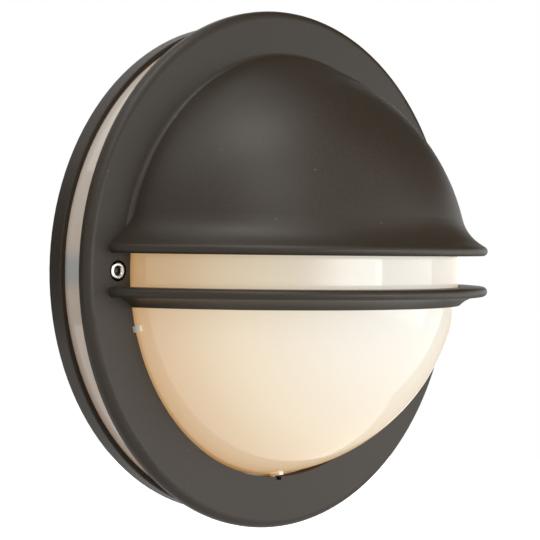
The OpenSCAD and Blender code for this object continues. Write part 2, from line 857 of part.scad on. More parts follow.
// One side direction to each point, carried along so that the tube doesn't twist
function carried(t) = [
  for (i = 0, s = unit(cross(t[0], abs(t[0].z) < 0.9 ? [0, 0, 1] : [1, 0, 0])); i < len(t);
       i = i + 1, s = i < len(t) ? unit(s - (s * t[i]) * t[i]) : s) s];

// Round tube of radius r along the route p
module tube(p, r, sides = 8) {
  t = along(p);
  s = carried(t);
  n = len(p);
  rings = [for (i = [0 : n - 1], k = [0 : sides - 1])
    let (u = s[i], v = cross(t[i], s[i]), a = 360 * k / sides) p[i] + r * (cos(a) * u + sin(a) * v)];
  sides_of = [for (i = [0 : n - 2], k = [0 : sides - 1])
    let (a = i * sides + k, b = i * sides + (k + 1) % sides) [a, a + sides, b + sides, b]];
  first = [for (k = [0 : sides - 1]) k];
  last = [for (k = [sides - 1 : -1 : 0]) (n - 1) * sides + k];
  polyhedron(points = rings, faces = concat([first], [last], sides_of), convexity = 6);
}

// A point at x, z on the wall and its depth
function at(x, z, depth) = [x, -depth, z];

// Straight start of a wire, from the middle of a pole's sleeve to just outside it
function from_pole(pole) = let (x = block_x + pole * pole_pitch) [
  at(x, block_z, wire_in_depth), at(x, sleeve_end_z, wire_in_depth),
  at(x, sleeve_end_z + 2, wire_in_depth)];
// Straight end of a wire, into the lampholder's hole on that side
function into_holder(side) = let (mouth = lamp_depth - holder_foot_r) [
  at(wire_hole_x, side * wire_hole_z, mouth - 4), at(wire_hole_x, side * wire_hole_z, mouth - 1),
  at(wire_hole_x, side * wire_hole_z, wire_end_depth)];

live_route = concat(from_pole(-1), [at(18, -27, wire_floor), at(-10, -20, wire_floor),
  at(-38, -12, wire_floor + 1), at(wire_hole_x + 4, -wire_hole_z - 1, 13)], into_holder(-1));
neutral_route = concat(from_pole(0), [at(30, -20, wire_floor), at(4, -8, wire_floor),
  at(-30, 4, wire_floor + 1), at(wire_hole_x + 4, wire_hole_z, 13)], into_holder(1));
earth_route = concat(from_pole(1), [at(54, -34, wire_floor)],
  [for (short = [4, 1, -1]) at(earth_x - barrel_x - short, earth_z, barrel_depth)]);

module live_wire() {
  color([0.45, 0.28, 0.16]) tube(smooth(live_route, wire_steps), wire_r);
}

module neutral_wire() {
  color([0.20, 0.38, 0.66]) tube(smooth(neutral_route, wire_steps), wire_r);
}

module earth_wire() {
  color([0.45, 0.62, 0.20]) tube(smooth(earth_route, wire_steps), wire_r);
}

// Flat ring with the crimped barrel that holds the earth wire
module earth_lug() {
  strip_w = 2 * wire_r;
  color([0.80, 0.80, 0.80])
  on_wall(earth_x, earth_z, earth_boss_depth + earth_washer_t) difference() {
    union() {
      cylinder(r = lug_r, h = lug_t, $fn = small_fn);
      translate([-barrel_x + 1, -strip_w / 2, 0]) cube([barrel_x - lug_r + 1, strip_w, lug_t]);
      translate([-barrel_x, 0, barrel_h]) rotate([0, 90, 0])
        cylinder(r = wire_r + barrel_t, h = barrel_l, $fn = small_fn);
    }
    translate([0, 0, -1]) cylinder(r = m4_r, h = lug_t + 2, $fn = small_fn);
    translate([-barrel_x - 1, 0, barrel_h]) rotate([0, 90, 0])
      cylinder(r = wire_r, h = 2, $fn = small_fn);
  }
}

module earth_screw() {
  color([0.74, 0.72, 0.66])
  on_wall(earth_x, earth_z, earth_boss_depth + earth_washer_t + lug_t)
    pan_screw(m4_r, earth_screw_l, m4_head_r, m4_head_h);
}

module earth_washer() {
  color([0.80, 0.66, 0.36])
  on_wall(earth_x, earth_z, earth_boss_depth) difference() {
    cylinder(r = earth_washer_r, h = earth_washer_t, $fn = small_fn);
    translate([0, 0, -1]) cylinder(r = m4_r, h = earth_washer_t + 2, $fn = small_fn);
  }
}

base();
front_cover();
diffuser();
diffuser_seal();
cover_screws();
flange_washers();
cable_grommet();
holder_bracket();
bracket_screws();
holder_body();
holder_shell();
holder_contact();
holder_screws();
lamp();
terminal_block();
terminal_sleeves();
terminal_screws();
block_screws();
live_wire();
neutral_wire();
earth_wire();
earth_lug();
earth_screw();
earth_washer();
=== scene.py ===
# %% [markdown]
# # A round wall light with a hood
# The light is a die-cast plate with half a hood over an opal dome. The hood ends in a lip that is
# turned out, a bar crosses the dome below it, and the light comes out between them and under the
# bar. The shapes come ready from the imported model, in metres, with the wall at Y = 0 and the front
# towards -Y. What is made here is what a solid model leaves out: the finishes, the fine threads,
# the stage and the camera.

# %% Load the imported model
import math

import bpy
import numpy as np
from mathutils import Matrix, Vector


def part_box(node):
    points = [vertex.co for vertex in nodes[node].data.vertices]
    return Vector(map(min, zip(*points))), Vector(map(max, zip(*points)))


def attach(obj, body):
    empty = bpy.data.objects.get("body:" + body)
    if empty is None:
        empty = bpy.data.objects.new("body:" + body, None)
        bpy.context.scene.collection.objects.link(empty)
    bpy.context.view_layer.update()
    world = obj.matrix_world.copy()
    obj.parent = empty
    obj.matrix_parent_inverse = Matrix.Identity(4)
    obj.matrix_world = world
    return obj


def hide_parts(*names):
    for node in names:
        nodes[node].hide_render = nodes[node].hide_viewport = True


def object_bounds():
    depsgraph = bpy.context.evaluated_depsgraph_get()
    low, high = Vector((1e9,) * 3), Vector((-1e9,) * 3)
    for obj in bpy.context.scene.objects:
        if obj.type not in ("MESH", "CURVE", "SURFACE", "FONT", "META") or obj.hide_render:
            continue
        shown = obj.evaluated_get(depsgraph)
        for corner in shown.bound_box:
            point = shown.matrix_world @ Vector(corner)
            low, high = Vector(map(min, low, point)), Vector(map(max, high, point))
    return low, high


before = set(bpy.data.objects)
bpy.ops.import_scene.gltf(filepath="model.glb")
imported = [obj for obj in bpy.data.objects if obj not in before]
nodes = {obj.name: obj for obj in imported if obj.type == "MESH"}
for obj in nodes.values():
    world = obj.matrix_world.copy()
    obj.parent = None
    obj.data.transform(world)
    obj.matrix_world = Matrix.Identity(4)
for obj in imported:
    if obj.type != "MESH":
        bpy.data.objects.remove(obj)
MM = 0.001
cad_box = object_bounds()
print("nodes", len(nodes), "box", [[round(c, 4) for c in corner] for corner in cad_box])

# %% [markdown]
# ## Camera
# The photograph was taken almost level, from about 45 degrees to the left of the light and 0.9 m
# away. A camera can be aimed with a constraint, but a matrix written from three directions is
# exact and stays put. The columns are the camera's right, its up and the direction back to it from
# what it looks at.

# %% Camera at the photograph's place
CAMERA_AZIMUTH = math.radians(-44.76)
CAMERA_ELEVATION = math.radians(0.90)
CAMERA_ROLL = math.radians(0.67)
CAMERA_DISTANCE = 0.900
CAMERA_TARGET = Vector((-0.02781, -0.050, 0.00041))
SENSOR_MM = 36.0
LENS_MM = 113.99
NEAR_CLIP = 0.05


def direction_at(azimuth, elevation):
    """The direction (sin a cos e, -cos a cos e, sin e) of azimuth a, counted from the front to the
    right, and elevation e."""
    return Vector((math.sin(azimuth) * math.cos(elevation),
                   -math.cos(azimuth) * math.cos(elevation), math.sin(elevation)))


def camera_directions(azimuth, elevation, roll):
    """Right, up and back of a camera. Back comes from the two angles, and the roll turns right and
    up about it."""
    back = direction_at(azimuth, elevation)
    level = (-back).cross(Vector((0, 0, 1))).normalized()
    upright = level.cross(-back)
    right = level * math.cos(roll) + upright * math.sin(roll)
    up = upright * math.cos(roll) - level * math.sin(roll)
    return right, up, back


def place_camera():
    """The scene's camera, at its distance from the target and turned to the three directions."""
    right, up, back = camera_directions(CAMERA_AZIMUTH, CAMERA_ELEVATION, CAMERA_ROLL)
    data = bpy.data.cameras.new("camera")
    data.sensor_width = SENSOR_MM
    data.lens = LENS_MM
    data.clip_start = NEAR_CLIP
    camera = bpy.data.objects.new("camera", data)
    bpy.context.scene.collection.objects.link(camera)
    turn = Matrix((right, up, back)).transposed().to_4x4()
    camera.matrix_world = Matrix.Translation(CAMERA_TARGET + back * CAMERA_DISTANCE) @ turn
    bpy.context.scene.camera = camera
    return camera


camera = place_camera()
print("camera at", [round(c, 3) for c in camera.matrix_world.translation])

# %% [markdown]
# ## Helpers for materials
# A finish is a small graph of nodes. Each material starts from the same Principled shader, and
# what more than one of them needs is a node group, built once. These helpers make nodes, join them
# and set the values that are the same all over a surface.

# %% Small helpers to build materials


def add_node(tree, kind, place=(0, 0), **values):
    """A new node in the tree. Values that name an input are set there, the others on the node."""
    node = tree.nodes.new(kind)
    node.location = place
    for key, value in values.items():
        if key.replace("_", " ") in node.inputs:
            node.inputs[key.replace("_", " ")].default_value = value
        else:
            setattr(node, key, value)
    return node


def join(tree, *pairs):
    """Links each (output, input) pair."""
    for output, entry in pairs:
        tree.links.new(output, entry)


def new_material(name, color, roughness, metallic=0.0):
    """A material with one Principled shader. Returns the material, its tree and the shader."""
    material = bpy.data.materials.new(name)
    material.use_nodes = True
    tree = material.node_tree
    shader = tree.nodes["Principled BSDF"]
    shader.inputs["Base Color"].default_value = (*color, 1)
    shader.inputs["Roughness"].default_value = roughness
    shader.inputs["Metallic"].default_value = metallic
    material.diffuse_color = (*color, 1)
    return material, tree, shader


def new_group(name, inputs, outputs):
    """A shader node group with named sockets. Returns it with its input and output nodes."""
    group = bpy.data.node_groups.new(name, "ShaderNodeTree")
    kinds = {"value": "NodeSocketFloat", "color": "NodeSocketColor"}
    for key, (kind, value) in inputs.items():
        socket = group.interface.new_socket(key, in_out="INPUT", socket_type=kinds[kind])
        socket.default_value = value
    for key, kind in outputs.items():
        group.interface.new_socket(key, in_out="OUTPUT", socket_type=kinds[kind])
    start = add_node(group, "NodeGroupInput", (-900, 0))
    end = add_node(group, "NodeGroupOutput", (700, 0))
    return group, start, end


def use_group(tree, group, place=(-500, 0), **values):
    """One use of a group, with values for its sockets."""
    node = add_node(tree, "ShaderNodeGroup", place)
    node.node_tree = group
    for key, value in values.items():
        node.inputs[key.replace("_", " ")].default_value = value
    return node


def finish_node(node_name, material):
    """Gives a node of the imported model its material."""
    slots = nodes[node_name].data.materials
    slots.clear()
    slots.append(material)


# %% [markdown]
# ## Shared surface effects
# Three effects turn up on several pieces. Grain is the fine relief of powder coat, rubber and
# moulded plastic. Mottle is the slow change of tone that keeps a large surface from looking
# printed. Flecks are the few pale specks that any textured coat has. All of them read Object
# coordinates, in metres, so a scale of 2000 gives a grain of half a millimetre on every piece.

# %% Grain, mottle and flecks as node groups
FINE_RATIO = 3.0
MOTTLE_SPAN = (0.3, 0.7)


def make_grain_group():
    """Height of a fine relief: a noise and a finer one, blended by the fine one's share."""
    group, start, end = new_group(
        "Grain", {"Scale": ("value", 2000.0), "Fine Share": ("value", 0.4)}, {"Height": "value"})
    place = add_node(group, "ShaderNodeTexCoord", (-900, 300))
    finer = add_node(group, "ShaderNodeMath", (-700, -150), operation="MULTIPLY")
    finer.inputs[1].default_value = FINE_RATIO
    coarse = add_node(group, "ShaderNodeTexNoise", (-450, 150), Detail=2.0, Roughness=0.5)
    fine = add_node(group, "ShaderNodeTexNoise", (-450, -150), Detail=1.0, Roughness=0.5)
    blend = add_node(group, "ShaderNodeMix", (100, 0), data_type="FLOAT")
    join(group, (place.outputs["Object"], coarse.inputs["Vector"]),
         (place.outputs["Object"], fine.inputs["Vector"]),
         (start.outputs["Scale"], coarse.inputs["Scale"]),
         (start.outputs["Scale"], finer.inputs[0]), (finer.outputs[0], fine.inputs["Scale"]),
         (start.outputs["Fine Share"], blend.inputs["Factor"]),
         (coarse.outputs["Fac"], blend.inputs["A"]), (fine.outputs["Fac"], blend.inputs["B"]),
         (blend.outputs["Result"], end.inputs["Height"]))
    return group


def make_mottle_group():
    """A colour between two close tones, by a slow noise, and the noise itself as a mask."""
    group, start, end = new_group(
        "Mottle", {"Tone A": ("color", (0.5, 0.5, 0.5, 1)), "Tone B": ("color", (0.6, 0.6, 0.6, 1)),
                   "Scale": ("value", 40.0)}, {"Color": "color", "Mask": "value"})
    place = add_node(group, "ShaderNodeTexCoord", (-900, 300))
    slow = add_node(group, "ShaderNodeTexNoise", (-600, 100), Detail=4.0, Roughness=0.6)
    spread = add_node(group, "ShaderNodeMapRange", (-350, 100), From_Min=MOTTLE_SPAN[0],
                      From_Max=MOTTLE_SPAN[1])
    blend = add_node(group, "ShaderNodeMix", (0, 0), data_type="RGBA")
    join(group, (place.outputs["Object"], slow.inputs["Vector"]),
         (start.outputs["Scale"], slow.inputs["Scale"]),
         (slow.outputs["Fac"], spread.inputs["Value"]), (spread.outputs["Result"], blend.inputs[0]),
         (start.outputs["Tone A"], blend.inputs[6]), (start.outputs["Tone B"], blend.inputs[7]),
         (blend.outputs[2], end.inputs["Color"]), (spread.outputs["Result"], end.inputs["Mask"]))
    return group


def make_fleck_group():
    """Mask of sparse round specks: the middles of a few cells, picked by each cell's own colour."""
    group, start, end = new_group(
        "Flecks", {"Scale": ("value", 300.0), "Size": ("value", 0.12), "Share": ("value", 0.1)},
        {"Mask": "value"})
    place = add_node(group, "ShaderNodeTexCoord", (-900, 300))
    cells = add_node(group, "ShaderNodeTexVoronoi", (-600, 100), feature="F1")
    near = add_node(group, "ShaderNodeMath", (-300, 100), operation="LESS_THAN")
    pick = add_node(group, "ShaderNodeSeparateColor", (-350, -150))
    chosen = add_node(group, "ShaderNodeMath", (-100, -150), operation="LESS_THAN")
    both = add_node(group, "ShaderNodeMath", (150, 0), operation="MULTIPLY")
    join(group, (place.outputs["Object"], cells.inputs["Vector"]),
         (start.outputs["Scale"], cells.inputs["Scale"]),
         (cells.outputs["Distance"], near.inputs[0]),
         (start.outputs["Size"], near.inputs[1]), (cells.outputs["Color"], pick.inputs["Color"]),
         (pick.outputs["Red"], chosen.inputs[0]),
         (start.outputs["Share"], chosen.inputs[1]), (near.outputs[0], both.inputs[0]),
         (chosen.outputs[0], both.inputs[1]), (both.outputs[0], end.inputs["Mask"]))
    return group


grain_group = make_grain_group()
mottle_group = make_mottle_group()
fleck_group = make_fleck_group()
print("groups", [g.name for g in bpy.data.node_groups])

# %% [markdown]
# ## From an effect to a shader
# Each effect ends in a socket of the shader. Grain could move the surface itself, but so fine a
# relief would need millions of faces, so it tilts the shading direction only, as a bump. Mottle
# gives the colour, and its mask steers the roughness too.

# %% Relief, mottled colour and uneven roughness


def add_relief(tree, shader, scale, depth, strength=1.0, fine_share=0.4):
    """Grain as a bump on the shader: depth is its height in metres."""
    grain = use_group(tree, grain_group, (-700, -500), Scale=scale, Fine_Share=fine_share)
    bump = add_node(tree, "ShaderNodeBump", (-300, -500), Strength=strength, Distance=depth)
    join(tree, (grain.outputs["Height"], bump.inputs["Height"]),
         (bump.outputs["Normal"], shader.inputs["Normal"]))


def add_mottle(tree, shader, tone_a, tone_b, scale):
    """Mottle as the shader's colour. Returns the group's node, for its mask."""
    mottle = use_group(tree, mottle_group, (-700, 200), Tone_A=(*tone_a, 1), Tone_B=(*tone_b, 1),
                       Scale=scale)
    join(tree, (mottle.outputs["Color"], shader.inputs["Base Color"]))
    return mottle


def vary_roughness(tree, shader, mask, low, high):
    """Roughness between two values, by a mask."""
    spread = add_node(tree, "ShaderNodeMapRange", (-300, -200), To_Min=low, To_Max=high)
    join(tree, (mask, spread.inputs["Value"]),
         (spread.outputs["Result"], shader.inputs["Roughness"]))


# %% [markdown]
# ## Powder coat
# The plate and the base are die-cast aluminium under a graphite-brown powder coat. Baked powder
# melts into a skin of fine dimples, so its shine is broad and soft and its tone is almost even.
# The relief is a bump that is at most a tenth of a millimetre deep, and a few pale specks lie in
# it, as in the photograph.

# %% Powder coat on the cover and the base
COAT_DARK = (0.023, 0.0165, 0.0100)
COAT_LIGHT = (0.034, 0.0250, 0.0160)
COAT_FLECK = (0.085, 0.077, 0.070)
COAT_SHINE = 0.30
COAT_ROUGHNESS = (0.37, 0.46)
COAT_MOTTLE_SCALE = 900.0
FLECK_SCALE, FLECK_SIZE, FLECK_SHARE = 220.0, 0.10, 0.03
DIMPLE_SCALE, DIMPLE_DEPTH, DIMPLE_STRENGTH = 1300.0, 0.00010, 0.6


def make_powder_coat():
    """Mottled dark coat with dimples, and with flecks where their mask is 1."""
    material, tree, shader = new_material("powder_coat_graphite", COAT_LIGHT, 0.5)
    shader.inputs["Specular IOR Level"].default_value = COAT_SHINE
    mottle = add_mottle(tree, shader, COAT_DARK, COAT_LIGHT, COAT_MOTTLE_SCALE)
    flecks = use_group(tree, fleck_group, (-700, 450), Scale=FLECK_SCALE, Size=FLECK_SIZE,
                       Share=FLECK_SHARE)
    tint = add_node(tree, "ShaderNodeMix", (-250, 300), data_type="RGBA")
    tint.inputs[7].default_value = (*COAT_FLECK, 1)
    join(tree, (flecks.outputs["Mask"], tint.inputs[0]), (mottle.outputs["Color"], tint.inputs[6]),
         (tint.outputs[2], shader.inputs["Base Color"]))
    vary_roughness(tree, shader, mottle.outputs["Mask"], *COAT_ROUGHNESS)
    add_relief(tree, shader, DIMPLE_SCALE, DIMPLE_DEPTH, strength=DIMPLE_STRENGTH)
    return material


powder_coat = make_powder_coat()
COATED = ("base", "front_cover")
for name in COATED:
    finish_node(name, powder_coat)
print("coated", COATED)

# %% [markdown]
# ## Tones and masks along a coordinate
# The opal's tone, with its painted light, and the painted shade in a screw's socket change with the
# place on them. A painted texture needs an unwrapped mesh, while a coordinate of the surface point
# that goes through a ramp or a step does the same on any mesh. A choice takes one colour or another
# by such a mask.

# %% Ramp, step and choice


def add_tone_ramp(tree, coordinate, place, tones):
    """Colours along a coordinate: each tone stands at its value of it, and blends lie between."""
    first, last = tones[0][0], tones[-1][0]
    spread = add_node(tree, "ShaderNodeMapRange", place, From_Min=first, From_Max=last)
    colors = add_node(tree, "ShaderNodeValToRGB", (place[0] + 200, place[1]))
    elements = colors.color_ramp.elements
    for position, tone in tones:
        share = (position - first) / (last - first)
        element = elements[0] if share == 0 else elements[-1] if share == 1 else elements.new(share)
        element.color = (*tone, 1)
    join(tree, (coordinate, spread.inputs["Value"]),
         (spread.outputs["Result"], colors.inputs["Fac"]))
    return colors.outputs["Color"]


def add_step(tree, coordinate, place, start, end):
    """A mask that goes from 0 to 1 while the coordinate goes from start to end."""
    step = add_node(tree, "ShaderNodeMapRange", place, From_Min=start, From_Max=end)
    join(tree, (coordinate, step.inputs["Value"]))
    return step.outputs["Result"]


def add_choice(tree, mask, place, first, second):
    """The first colour where the mask is 0 and the second where it is 1. Each is a tone or an
    output."""
    choice = add_node(tree, "ShaderNodeMix", place, data_type="RGBA")
    join(tree, (mask, choice.inputs[0]))
    for entry, color in ((choice.inputs[6], first), (choice.inputs[7], second)):
        if isinstance(color, tuple):
            entry.default_value = (*color, 1)
        else:
            join(tree, (color, entry))
    return choice.outputs[2]


# %% [markdown]
# ## Opal diffuser
# Opal acrylic is glossy outside and scatters light inside, so it looks soft and pale. In the
# photograph the lamp is on: the dome glows a little, warmer towards the cover, where the light has
# a longer way through the plastic, and so does the skirt behind the plate, except where a screw
# pillar stands in front of the lamp. A real lamp inside would need a very long render, so the glow
# is a weak emission whose tone follows the depth, over a pale base with a little subsurface
# scattering.

# %% Opal acrylic and its glow
# The dome's tones are the opal's pale colour, warmer and lighter towards the cover as painted lamp
# light.
OPAL_TONES_PAINTED_LIGHT = [(-34 * MM, (0.62, 0.56, 0.47)), (-80 * MM, (0.57, 0.54, 0.49)),
              (-120 * MM, (0.50, 0.495, 0.49))]
GLOW_TONES = [(-34 * MM, (0.36, 0.18, 0.045)), (-60 * MM, (0.36, 0.22, 0.08)),
              (-80 * MM, (0.40, 0.29, 0.15)), (-100 * MM, (0.40, 0.32, 0.20)),
              (-120 * MM, (0.39, 0.35, 0.28))]
SKIRT_TONE = (0.50, 0.50, 0.47)
SKIRT_GLOW = (0.11, 0.05, 0.015)
# Painted highlight: the keys stand proud and catch the light, so they are paler and glow less.
KEY_PAINTED_HIGHLIGHT = (0.84, 0.83, 0.81)
KEY_GLOW = (0.10, 0.09, 0.07)
FLANGE_FRONT = -31 * MM
PILLAR_HALF_WIDTH = 8 * MM
DOME_CENTRE = Vector((0, -8.7 * MM, 0))
DOME_RADIUS = 113.5 * MM
KEY_STEP = (DOME_RADIUS + 0.2 * MM, DOME_RADIUS + 0.6 * MM)
OPAL_ROUGHNESS = 0.05
OPAL_VALUES = {"Specular IOR Level": 0.5, "Subsurface Weight": 0.15,
               "Subsurface Radius": (1.0, 0.8, 0.6), "Subsurface Scale": 2 * MM,
               "Emission Strength": 1.0}


def make_opal():
    """Tone and glow by depth on the dome, where the tone is the opal's pale colour with painted warm
    light towards the cover. The skirt, which is everything behind the flange's front, and the keys,
    which stand proud of the sphere in front of it and get a painted highlight, have their own."""
    material, tree, shader = new_material("opal_acrylic", OPAL_TONES_PAINTED_LIGHT[-1][1], OPAL_ROUGHNESS)
    for key, value in OPAL_VALUES.items():
        shader.inputs[key].default_value = value
    place = add_node(tree, "ShaderNodeTexCoord", (-1500, 200))
    axes = add_node(tree, "ShaderNodeSeparateXYZ", (-1300, 200))
    height = add_node(tree, "ShaderNodeMath", (-1100, -50), operation="ABSOLUTE")
    reach = add_node(tree, "ShaderNodeVectorMath", (-1100, -500), operation="DISTANCE")
    reach.inputs[1].default_value = DOME_CENTRE
    join(tree, (place.outputs["Object"], axes.inputs["Vector"]),
         (axes.outputs["Z"], height.inputs[0]), (place.outputs["Object"], reach.inputs[0]))
    depth = axes.outputs["Y"]
    in_skirt = add_step(tree, depth, (-900, -300), FLANGE_FRONT - MM, FLANGE_FRONT)
    beside_pillar = add_step(tree, height.outputs[0], (-900, -50), PILLAR_HALF_WIDTH * 0.5,
                             PILLAR_HALF_WIDTH * 1.5)
    on_dome = add_step(tree, depth, (-900, -800), FLANGE_FRONT - MM, FLANGE_FRONT - 2 * MM)
    proud = add_step(tree, reach.outputs["Value"], (-900, -550), *KEY_STEP)
    on_key = add_node(tree, "ShaderNodeMath", (-650, -450), operation="MULTIPLY")
    join(tree, (proud, on_key.inputs[0]), (on_dome, on_key.inputs[1]))
    dome_tone_painted_light = add_tone_ramp(tree, depth, (-1100, 400), OPAL_TONES_PAINTED_LIGHT)
    dome_glow = add_tone_ramp(tree, depth, (-1100, 700), GLOW_TONES)
    skirt_glow = add_choice(tree, beside_pillar, (-650, 600), (0.0, 0.0, 0.0), SKIRT_GLOW)
    body = add_choice(tree, in_skirt, (-400, 200), dome_tone_painted_light, SKIRT_TONE)
    base_color = add_choice(tree, on_key.outputs[0], (-150, 200), body, KEY_PAINTED_HIGHLIGHT)
    body_glow = add_choice(tree, in_skirt, (-400, 600), dome_glow, skirt_glow)
    glow = add_choice(tree, on_key.outputs[0], (-150, 600), body_glow, KEY_GLOW)
    join(tree, (base_color, shader.inputs["Base Color"]), (glow, shader.inputs["Emission Color"]))
    return material


opal = make_opal()
finish_node("diffuser", opal)
print("opal glow at", [round(depth, 3) for depth, tone in GLOW_TONES])

# %% [markdown]
# ## The dome's front point
# A mirror image is only as clean as the shading directions, the normals. All triangles of the
# dome's front meet in one point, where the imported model's normals lean over, and that shows as a
# smudge. On a sphere the right normal points straight away from the centre. So a copy of the
# diffuser, with its corners joined, gets exact normals on its outer sphere and keeps its others.

# %% Diffuser with exact normals on its sphere
JOIN_STEP = 0.001 * MM
ON_SPHERE = 0.02 * MM
MOST_LEAN = math.radians(45)


def read_array(values, key, kind, width):
    """A property of every item of a mesh's collection as an array with so many columns."""
    flat = np.empty(len(values) * width, kind)
    values.foreach_get(key, flat)
    return flat.reshape(-1, width)


def copy_with_sphere_normals(mesh, name, centre, radius):
    """The mesh with its corners joined. Where a corner lies on the sphere and its normal leans less
    than 45 degrees from the way out, the new normal is the point less the centre, made one long."""
    corners = read_array(mesh.loops, "vertex_index", np.int32, 1)[:, 0]
    points = read_array(mesh.vertices, "co", np.float32, 3)[corners].astype(float)
    normals = read_array(mesh.corner_normals, "vector", np.float32, 3).astype(float)
    reach = points - np.array(centre)
    length = np.linalg.norm(reach, axis=1, keepdims=True)
    outward = reach / length
    upright = (outward * normals).sum(axis=1) > math.cos(MOST_LEAN)
    on_sphere = upright & (np.abs(length[:, 0] - radius) < ON_SPHERE)
    normals[on_sphere] = outward[on_sphere]
    first, joined = np.unique(np.round(points / JOIN_STEP).astype(np.int64), axis=0,
                              return_index=True, return_inverse=True)[1:]
    faces = joined.reshape(-1, 3)
    whole = (faces != np.roll(faces, 1, axis=1)).all(axis=1)
    copy = bpy.data.meshes.new(name)
    copy.from_pydata(points[first].tolist(), [], faces[whole].tolist())
    copy.normals_split_custom_set(normals.reshape(-1, 3, 3)[whole].reshape(-1, 3).tolist())
    print(name, "faces", len(copy.polygons), "corners on the sphere", int(on_sphere.sum()))
    return copy


dome_mesh = copy_with_sphere_normals(nodes["diffuser"].data, "opal_shell", DOME_CENTRE, DOME_RADIUS)
dome_mesh.materials.append(opal)
opal_shell = bpy.data.objects.new("opal_shell", dome_mesh)
bpy.context.scene.collection.objects.link(opal_shell)
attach(opal_shell, "root")
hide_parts("diffuser")

# %% [markdown]
# ## Turned stainless steel
# The cover screws are turned, so their heads have fine rings about the screw's own axis, and their
# sockets are painted dark below the mouth as shade. Cut rings would take thousands of faces. A sine
# of the distance from the axis tilts the shading direction instead, and the same distance tells the
# socket from the head.

# %% Cover screws' steel
screw_low, screw_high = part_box("cover_screws")
SCREW_HEAD_R = 4.25 * MM
SCREW_X = screw_high.x - SCREW_HEAD_R
SOCKET_R = 2.35 * MM
SOCKET_EDGE = 0.1 * MM
# Painted shade: inside the socket, from just below the face of the head, the steel is darkened to
# this tone.
SOCKET_SHADE_FROM, SOCKET_SHADE_FULL = screw_low.y + 0.3 * MM, screw_low.y + 0.8 * MM
SOCKET_SHADE_TONE = (0.10, 0.09, 0.07)
STEEL_TONE_A, STEEL_TONE_B = (0.50, 0.49, 0.47), (0.60, 0.59, 0.57)
STEEL_ROUGHNESS, SOCKET_ROUGHNESS = 0.22, 0.55
STEEL_MOTTLE_SCALE = 300.0
RING_SPACING = 0.22 * MM
RING_DEPTH, RING_STRENGTH = 0.000006, 0.25


def make_turned_steel():
    """Stainless steel whose rings and painted socket shade follow the distance from a cover screw's
    axis.
    """
    material, tree, shader = new_material("turned_stainless_steel", (0.66, 0.65, 0.63),
                                          STEEL_ROUGHNESS, metallic=1.0)
    place = add_node(tree, "ShaderNodeTexCoord", (-1500, 0))
    axes = add_node(tree, "ShaderNodeSeparateXYZ", (-1300, 0))
    side = add_node(tree, "ShaderNodeMath", (-1100, 100), operation="ABSOLUTE")
    across = add_node(tree, "ShaderNodeMath", (-900, 100), operation="SUBTRACT")
    across.inputs[1].default_value = SCREW_X
    flat = add_node(tree, "ShaderNodeCombineXYZ", (-700, 0))
    reach = add_node(tree, "ShaderNodeVectorMath", (-500, 0), operation="LENGTH")
    turns = add_node(tree, "ShaderNodeMath", (-300, -200), operation="MULTIPLY")
    turns.inputs[1].default_value = 2 * math.pi / RING_SPACING
    rings = add_node(tree, "ShaderNodeMath", (-100, -200), operation="SINE")
    bump = add_node(tree, "ShaderNodeBump", (100, -300), Strength=RING_STRENGTH,
                    Distance=RING_DEPTH)
    mottle = use_group(tree, mottle_group, (-500, 300), Tone_A=(*STEEL_TONE_A, 1),
                       Tone_B=(*STEEL_TONE_B, 1), Scale=STEEL_MOTTLE_SCALE)
    join(tree, (place.outputs["Object"], axes.inputs["Vector"]),
         (axes.outputs["X"], side.inputs[0]), (side.outputs[0], across.inputs[0]),
         (across.outputs[0], flat.inputs["X"]), (axes.outputs["Z"], flat.inputs["Y"]),
         (flat.outputs[0], reach.inputs[0]), (reach.outputs["Value"], turns.inputs[0]),
         (turns.outputs[0], rings.inputs[0]), (rings.outputs[0], bump.inputs["Height"]),
         (bump.outputs["Normal"], shader.inputs["Normal"]))
    in_socket = add_step(tree, reach.outputs["Value"], (-300, 100), SOCKET_R + SOCKET_EDGE,
                         SOCKET_R - SOCKET_EDGE)
    # Painted shade in the socket, deeper than its mouth.
    below_face = add_step(tree, axes.outputs["Y"], (-300, 500), SOCKET_SHADE_FROM, SOCKET_SHADE_FULL)
    socket_shade = add_node(tree, "ShaderNodeMath", (-100, 300), operation="MULTIPLY")
    join(tree, (in_socket, socket_shade.inputs[0]), (below_face, socket_shade.inputs[1]))
    tone = add_choice(tree, socket_shade.outputs[0], (100, 200), mottle.outputs["Color"], SOCKET_SHADE_TONE)
    join(tree, (tone, shader.inputs["Base Color"]))
    vary_roughness(tree, shader, socket_shade.outputs[0], STEEL_ROUGHNESS, SOCKET_ROUGHNESS)
    return material


turned_steel = make_turned_steel()
finish_node("cover_screws", turned_steel)
print("screws at", round(SCREW_X, 4), "either side,", turned_steel.name)

# %% [markdown]
# ## Plated steel and brass
# Zinc-plated steel has a cool, cloudy shine, brass a yellow one, and a lamp's cap is bright
# nickel. One function makes them: a metallic shader whose tone and roughness drift with the
# mottle, over a very fine relief.

# %% Zinc plate, nickel and brass
METAL_GRAIN_SCALE = 4000.0
SMOOTHER, ROUGHER = 0.06, 0.08


def make_metal(name, tone_a, tone_b, roughness, scale, relief):
    """A metal whose tone drifts between two, as its roughness does, over a grain of that relief."""
    material, tree, shader = new_material(name, tone_a, roughness, metallic=1.0)
    mottle = add_mottle(tree, shader, tone_a, tone_b, scale)
    vary_roughness(tree, shader, mottle.outputs["Mask"], roughness - SMOOTHER, roughness + ROUGHER)
    add_relief(tree, shader, METAL_GRAIN_SCALE, relief, strength=0.4, fine_share=0.2)
    return material


